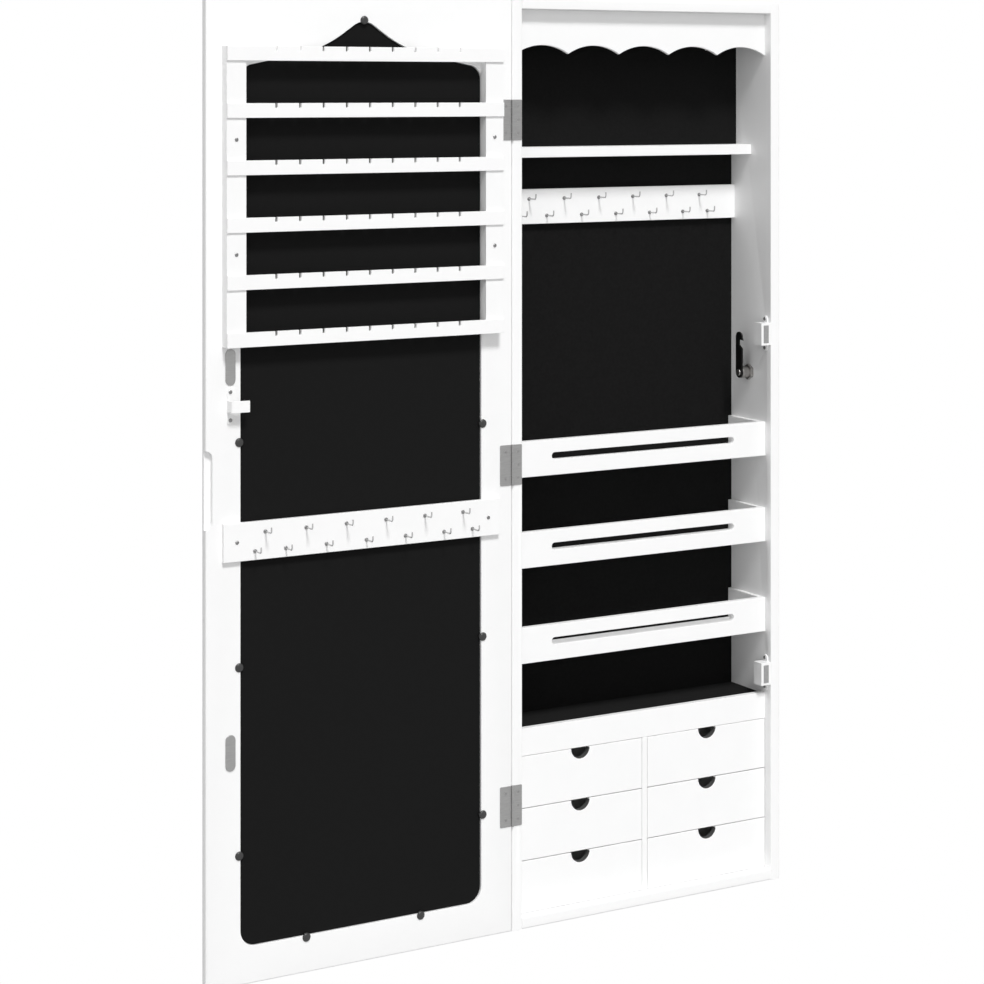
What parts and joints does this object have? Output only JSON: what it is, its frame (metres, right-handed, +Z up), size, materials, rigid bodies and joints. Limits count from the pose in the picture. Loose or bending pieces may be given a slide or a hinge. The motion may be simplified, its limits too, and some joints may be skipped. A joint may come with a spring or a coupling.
{
  "type": "wall jewelry cabinet",
  "caption": "Shallow white wall cabinet with a hinged mirror door, an arched mirror panel, hook boards, an earring rack, slotted shelves, a tray and small drawers.",
  "frame": {"origin": "on the wall plane, midway across the cabinet's back, at its bottom edge", "axes": "+X to the right seen from the front, +Y towards the wall, +Z up; the door stands open by 180 degrees on the -X side"},
  "size_m": [0.752, 0.109, 1.06],
  "materials": {
    "white_board": "satin white lacquer on fibreboard",
    "hardboard": "smooth white-faced hardboard",
    "black_lining": "matt black lining",
    "black_board": "matt black board",
    "mirror": "polished mirror glass",
    "hinge_steel": "satin nickel plated steel",
    "screw_steel": "plated screws",
    "hook_metal": "bright plated wire",
    "clip_plastic": "dark grey plastic",
    "catch_plastic": "white plastic",
    "magnet": "grey magnet face",
    "lock_metal": "chromed zinc",
    "cam_steel": "black finish",
    "white_steel": "white powder coat"
  },
  "bodies": {
    "cabinet": {"back_lining": "black_lining", "back_panel": "hardboard", "bottom_board": "white_board", "cabinet_hook_board": "white_board", "cabinet_hooks": "hook_metal", "cabinet_leaf_screws": "hinge_steel", "catch_magnets": "magnet", "catch_screws": "screw_steel", "drawer_decks": "white_board", "drawer_divider": "white_board", "hanging_batten": "white_board", "hinge_cabinet_leaves": "hinge_steel", "hinge_pins": "hinge_steel", "left_side": "white_board", "lock_body": "lock_metal", "lock_nut": "lock_metal", "lower_shelf_rail": "white_board", "magnet_catches": "catch_plastic", "middle_shelf_rail": "white_board", "right_side": "white_board", "shelf_floors": "white_board", "shelf_sides": "white_board", "top_board": "white_board", "top_facing": "black_lining", "top_shelf": "white_board", "tray_board": "white_board", "tray_lining": "black_lining", "tray_rail": "white_board", "upper_shelf_rail": "white_board", "valance": "white_board"},
    "lock": {"lock_plug": "lock_metal", "lock_cam": "cam_steel", "cam_screw": "lock_metal"},
    "door": {"door_frame": "white_board", "mirror": "mirror", "backing_board": "black_board", "backing_clips": "clip_plastic", "rack_posts": "white_board", "earring_rails": "white_board", "door_hook_board": "white_board", "door_hooks": "hook_metal", "strike_plates": "hinge_steel", "strike_bracket": "white_steel", "door_screws": "screw_steel", "hinge_door_leaves": "hinge_steel", "door_leaf_screws": "hinge_steel"},
    "drawer_1": {"drawer_1_front": "white_board", "drawer_1_box": "white_board"},
    "drawer_2": {"drawer_2_front": "white_board", "drawer_2_box": "white_board"},
    "drawer_3": {"drawer_3_front": "white_board", "drawer_3_box": "white_board"},
    "drawer_4": {"drawer_4_front": "white_board", "drawer_4_box": "white_board"},
    "drawer_5": {"drawer_5_front": "white_board", "drawer_5_box": "white_board"},
    "drawer_6": {"drawer_6_front": "white_board", "drawer_6_box": "white_board"}
  },
  "joints": [
    {"name": "door_hinge", "type": "hinge", "parent": "cabinet", "child": "door", "pos_m": [-0.1877, -0.0882, 0.53], "axis": [0, 0, -1], "range_deg": [-180, 0]},
    {"name": "lock_turn", "type": "hinge", "parent": "cabinet", "child": "lock", "pos_m": [0.17, -0.043, 0.61], "axis": [1, 0, 0], "range_deg": [0, 64]},
    {"name": "drawer_1_slide", "type": "slide", "parent": "cabinet", "child": "drawer_1", "axis": [0, -1, 0], "range_m": [0, 0.045]},
    {"name": "drawer_2_slide", "type": "slide", "parent": "cabinet", "child": "drawer_2", "axis": [0, -1, 0], "range_m": [0, 0.045]},
    {"name": "drawer_3_slide", "type": "slide", "parent": "cabinet", "child": "drawer_3", "axis": [0, -1, 0], "range_m": [0, 0.045]},
    {"name": "drawer_4_slide", "type": "slide", "parent": "cabinet", "child": "drawer_4", "axis": [0, -1, 0], "range_m": [0, 0.045]},
    {"name": "drawer_5_slide", "type": "slide", "parent": "cabinet", "child": "drawer_5", "axis": [0, -1, 0], "range_m": [0, 0.045]},
    {"name": "drawer_6_slide", "type": "slide", "parent": "cabinet", "child": "drawer_6", "axis": [0, -1, 0], "range_m": [0, 0.045]}
  ]
}
